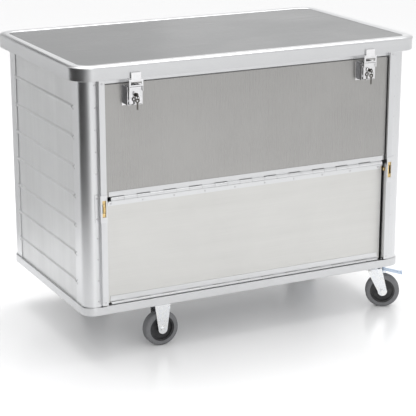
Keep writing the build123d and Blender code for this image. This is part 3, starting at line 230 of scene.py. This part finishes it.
PROFILE = (0.60, 0.605, 0.612)
finishes = {
    "profile_flat": extrusion("profile_flat", PROFILE, 0.3),
    "profile_upright": extrusion("profile_upright", PROFILE, 0.3, 2),
    "profile_long": extrusion("profile_long", PROFILE, 0.3, 0),
    "wall_sheet": sheet_metal("wall_sheet", (0.66, 0.665, 0.67), 0.42, 2, 0.03, 0.03, 0.06),
    "panel_sheet": sheet_metal("panel_sheet", (0.62, 0.617, 0.60), 0.4, 0, 0.04, 0.02, 0.04),
    "flap_sheet": sheet_metal("flap_sheet", (0.37, 0.365, 0.356), 0.3, 2, 0.014, 0.012, 0.05, 14.0),
    "lid_sheet": sheet_metal("lid_sheet", (0.16, 0.162, 0.165), 0.3, 0, 0.04, 0.03, 0.05),
    "floor_sheet": sheet_metal("floor_sheet", (0.58, 0.585, 0.59), 0.42, 0, 0.04, 0.03, 0.06),
    "zinc": zinc("zinc", (0.80, 0.82, 0.85)),
    "zinc_blue": plated("zinc_blue", (0.36, 0.46, 0.60), 0.3, (0.72, 0.74, 0.76), 0.7),
    # dark steel for the sides of the latch cases: painted shade, not a finish of its own
    "latch_case_painted_shade": plated("latch_case_painted_shade", (0.16, 0.16, 0.165), 0.3, (0.07, 0.07, 0.07), 0.8),
    "latch_steel": plated("latch_steel", (0.80, 0.80, 0.81), 0.16, (0.55, 0.55, 0.56), 0.5),
    "key_steel": plated("key_steel", (0.12, 0.115, 0.105), 0.28, (0.05, 0.047, 0.043), 0.7),
    "brass": plated("brass", (0.72, 0.54, 0.26), 0.28, (0.36, 0.25, 0.12), 0.8),
    "rivet": plated("rivet", (0.62, 0.62, 0.63), 0.3, (0.4, 0.4, 0.4), 0.6),
    "wheel_plastic": moulded("wheel_plastic", (0.02, 0.02, 0.022), 0.5),
    "tyre": rubber("tyre", (0.15, 0.152, 0.158)),
}

node_finish = {
    "bottom_rim": "profile_flat",
    "floor_plate": "floor_sheet",
    "castor_rails": "zinc",
    "front_corner_posts": "profile_upright",
    "rear_corner_posts": "profile_upright",
    "guide_strips": "profile_upright",
    "side_sheets": "wall_sheet",
    "rear_sheet": "wall_sheet",
    "top_rim": "profile_flat",
    "front_rail": "profile_long",
    "lid_hinge_bases": "zinc",
    "lid_hinge_pins": "zinc",
    "panel_hinge_base": "profile_long",
    "panel_hinge_pin": "zinc",
    "catch_plates": "profile_upright",
    "catch_guides": "brass",
    "latch_keepers": "latch_steel",
    "fixed_castor_forks": "zinc",
    "fixed_castor_axles": "zinc",
    "swivel_castor_plates": "zinc",
    "castor_bolts": "zinc",
    "frame_rivets": "rivet",
    "lid_frame": "profile_flat",
    "lid_sheet": "lid_sheet",
    "lid_hinge_leaves": "zinc",
    "lower_panel": "panel_sheet",
    "panel_hinge_leaf": "profile_long",
    "mid_hinge_lower_leaf": "profile_long",
    "lower_panel_rivets": "rivet",
    "mid_hinge_pin": "zinc",
    "upper_flap": "flap_sheet",
    "mid_hinge_upper_leaf": "profile_long",
    "latch_bases": "latch_steel",
    "latch_pins": "latch_steel",
}
for side in ("left", "right"):
    node_finish[f"latch_lever_{side}"] = "latch_steel"
    node_finish[f"latch_bail_{side}"] = "latch_steel"
    node_finish[f"lock_core_{side}"] = "key_steel"
    node_finish[f"lock_key_{side}"] = "key_steel"
    node_finish[f"spare_key_{side}"] = "key_steel"
    node_finish[f"catch_bolt_{side}"] = "brass"
for end in ("front", "rear"):
    node_finish[f"swivel_fork_{end}"] = "zinc"
    node_finish[f"swivel_axle_{end}"] = "zinc"
    node_finish[f"brake_pedal_{end}"] = "zinc_blue"
    node_finish[f"swivel_wheel_core_{end}"] = "wheel_plastic"
    node_finish[f"fixed_wheel_core_{end}"] = "wheel_plastic"
    node_finish[f"swivel_tyre_{end}"] = "tyre"
    node_finish[f"fixed_tyre_{end}"] = "tyre"

for name, node in nodes.items():
    node.data.materials.clear()
    node.data.materials.append(finishes[node_finish[name]])

# the sides of the latch cases, in front of their base plates, get a dark steel: painted shade where these
# sides stand in shadow
BASE_PLATE = 0.0025
SIDEWAYS = 0.9                    # share of a face's normal along X
case = nodes["latch_bases"].data
case.materials.append(finishes["latch_case_painted_shade"])
base_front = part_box("latch_bases")[1].y - BASE_PLATE
for face in case.polygons:
    if abs(face.normal.x) > SIDEWAYS and face.center.y < base_front:
        face.material_index = 1


# ---------------------------------------------------------------- better meshes for single CAD pieces
SHARP_ANGLE = 0.6                 # radians between two faces, from which their edge is shaded sharp


def mesh_object(name, verts, faces, material):
    """A mesh piece, smooth shaded, with sharp edges where its faces turn by more than SHARP_ANGLE."""
    mesh = bpy.data.meshes.new(name)
    mesh.from_pydata(verts, [], faces)
    mesh.materials.append(material)
    bm = bmesh.new()
    bm.from_mesh(mesh)
    bmesh.ops.remove_doubles(bm, verts=bm.verts, dist=1e-6)
    bmesh.ops.recalc_face_normals(bm, faces=bm.faces)
    for face in bm.faces:
        face.smooth = True
    for edge in bm.edges:
        edge.smooth = len(edge.link_faces) == 2 and edge.calc_face_angle(0.0) < SHARP_ANGLE
    bm.to_mesh(mesh)
    bm.free()
    obj = bpy.data.objects.new(name, mesh)
    bpy.context.scene.collection.objects.link(obj)
    return obj


def rounded_loop(half_x, half_y, radius, steps=14):
    """Points round a rounded rectangle, the same number for every size."""
    points = []
    for quarter, (sx, sy) in enumerate(((1, 1), (-1, 1), (-1, -1), (1, -1))):
        for step in range(steps + 1):
            a = math.radians(90.0 * quarter + 90.0 * step / steps)
            points.append((sx * (half_x - radius) + radius * math.cos(a),
                           sy * (half_y - radius) + radius * math.sin(a)))
    return points


MIN_CORNER_RADIUS = 0.004


def swept_ring(name, half_x, half_y, radius, profile, material):
    """A closed profile of (distance in from the outer edge, height) swept round a rounded rectangle."""
    verts = []
    for inset, z in profile:
        loop = rounded_loop(half_x - inset, half_y - inset, max(radius - inset, MIN_CORNER_RADIUS))
        verts += [(x, y, z) for x, y in loop]
    around = len(verts) // len(profile)
    faces = []
    for i in range(len(profile)):
        j = (i + 1) % len(profile)
        for k in range(around):
            m = (k + 1) % around
            faces.append((i * around + k, i * around + m, j * around + m, j * around + k))
    return mesh_object(name, verts, faces, material)


LID_CORNER_RADIUS = 0.072
LIP_WALL = 0.0035                 # upright part of the lip below its rounding
CROWN_WIDTH = 0.017               # width of the rounding
CROWN_STEPS = 8
INNER_LAP = 0.018                 # how far the frame reaches under the lid sheet
low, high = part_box("lid_frame")
sheet_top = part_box("lid_sheet")[1].z
sheet_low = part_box("lid_sheet")[0].z
lip = high.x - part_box("lid_sheet")[1].x
wall_top = low.z + LIP_WALL
crown = [(0.0, low.z), (0.0, wall_top)]
for step in range(CROWN_STEPS + 1):
    a = math.radians(90.0 * step / CROWN_STEPS)
    crown.append((CROWN_WIDTH * (1 - math.cos(a)), wall_top + (high.z - wall_top) * math.sin(a)))
# the crown's inner slope down to the sheet, then under the sheet
for before_sheet, below_top in ((0.010, 0.0003), (0.004, 0.001), (0.0012, 0.0022)):
    crown.append((lip - before_sheet, high.z - below_top))
crown += [(lip, sheet_top + 0.0004), (lip, sheet_low), (lip + INNER_LAP, sheet_low), (lip + INNER_LAP, low.z)]
lid_crown = swept_ring("lid_frame_crowned", high.x, high.y, LID_CORNER_RADIUS, crown,
                       finishes["profile_flat"])
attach(lid_crown, "lid")
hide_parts("lid_frame")


# ---------------------------------------------------------------- studio
def plain(name, color, rough):
    """A material of one color for the studio."""
    material = bpy.data.materials.new(name)
    material.use_nodes = True
    shader = material.node_tree.nodes["Principled BSDF"]
    shader.inputs["Base Color"].default_value = (*color, 1.0)
    shader.inputs["Roughness"].default_value = rough
    shader.inputs["Specular IOR Level"].default_value = 0.4
    return material


def quad(name, corners, material):
    """A flat four-cornered piece of the studio."""
    mesh = bpy.data.meshes.new(name)
    mesh.from_pydata(corners, [], [(0, 1, 2, 3)])
    obj = bpy.data.objects.new(name, mesh)
    bpy.context.scene.collection.objects.link(obj)
    mesh.materials.append(material)
    return obj


FLOOR_HALF = 30.0
quad("studio_floor", [(-FLOOR_HALF, -FLOOR_HALF, 0), (FLOOR_HALF, -FLOOR_HALF, 0),
                      (FLOOR_HALF, FLOOR_HALF, 0), (-FLOOR_HALF, FLOOR_HALF, 0)],
     plain("studio_floor", (0.9, 0.9, 0.905), 0.22))


CARD_CENTRE = (-0.6, -0.33)
CARD_RADIUS = 1.5
CARD_HEIGHT = 1.7
LAST_CARD_HEIGHT = 1.35
UPPER_CARD_HEIGHT = 3.3
# where each card of the arc starts, in degrees from -X, and its tone
CARD_TONES = ((-84, 0.42), (-68, 0.18), (-52, 0.04), (-24, 0.02), (0, 0.02), (22, 0.06), (34, 0.3),
              (46, 0.75), (60, 0.64))
ARC_END = 100


def card(name, start, stop, base, top, tone):
    """An upright grey card on the arc between two angles, which only reflections show."""
    (x0, y0), (x1, y1) = [(CARD_CENTRE[0] - CARD_RADIUS * math.cos(math.radians(a)),
                           CARD_CENTRE[1] + CARD_RADIUS * math.sin(math.radians(a))) for a in (start, stop)]
    obj = quad(name, [(x0, y0, base), (x1, y1, base), (x1, y1, top), (x0, y0, top)],
               plain(name, (tone, tone, tone), 0.9))
    obj.visible_camera = False
    obj.visible_diffuse = False
    obj.visible_shadow = False
    obj.visible_transmission = False


starts = [start for start, _ in CARD_TONES] + [ARC_END]
for index, (start, tone) in enumerate(CARD_TONES):
    last = index == len(CARD_TONES) - 1
    card(f"card_{index}", start, starts[index + 1], 0.0, LAST_CARD_HEIGHT if last else CARD_HEIGHT, tone)
# a darker card above the last one, which the rounded lid lip on the left reflects
card("card_upper", 62, ARC_END, LAST_CARD_HEIGHT, UPPER_CARD_HEIGHT, 0.15)


def area(name, place, target, size, energy):
    """A rectangular lamp at a place, aimed at a target."""
    data = bpy.data.lights.new(name, "AREA")
    data.shape = "RECTANGLE"
    data.size, data.size_y = size
    data.energy = energy
    light = bpy.data.objects.new(name, data)
    light.location = place
    light.rotation_euler = (Vector(target) - Vector(place)).to_track_quat("-Z", "Y").to_euler()
    bpy.context.scene.collection.objects.link(light)


area("overhead", (0.3, 0.6, 3.6), (0.0, 0.0, 0.5), (3.6, 2.6), 95.0)
area("rear_right", (3.4, 4.6, 1.7), (0.3, 0.0, 0.9), (2.6, 1.8), 3.5)
area("front_fill", (-1.5, -4.5, 2.4), (0.0, 0.0, 0.5), (3.0, 2.2), 40.0)

world = bpy.data.worlds.new("studio")
bpy.context.scene.world = world
world.use_nodes = True
world.node_tree.nodes["Background"].inputs["Color"].default_value = (1.0, 1.0, 1.0, 1.0)
world.node_tree.nodes["Background"].inputs["Strength"].default_value = 1.0

# ---------------------------------------------------------------- camera
AZIMUTH, ELEVATION = math.radians(26.83), math.radians(16.48)
DISTANCE = 5.6
TARGET = Vector((0.0104, 0.0, 0.3696))
camera_data = bpy.data.cameras.new("camera")
camera_data.sensor_width = 36.0
camera_data.lens = 132.0
camera = bpy.data.objects.new("camera", camera_data)
bpy.context.scene.collection.objects.link(camera)
forward = Vector((math.sin(AZIMUTH) * math.cos(ELEVATION), math.cos(AZIMUTH) * math.cos(ELEVATION),
                  -math.sin(ELEVATION)))
camera.location = TARGET - forward * DISTANCE
camera.rotation_mode = "QUATERNION"
camera.rotation_quaternion = forward.to_track_quat("-Z", "Y")
bpy.context.scene.camera = camera
bpy.context.scene.view_settings.view_transform = "Standard"
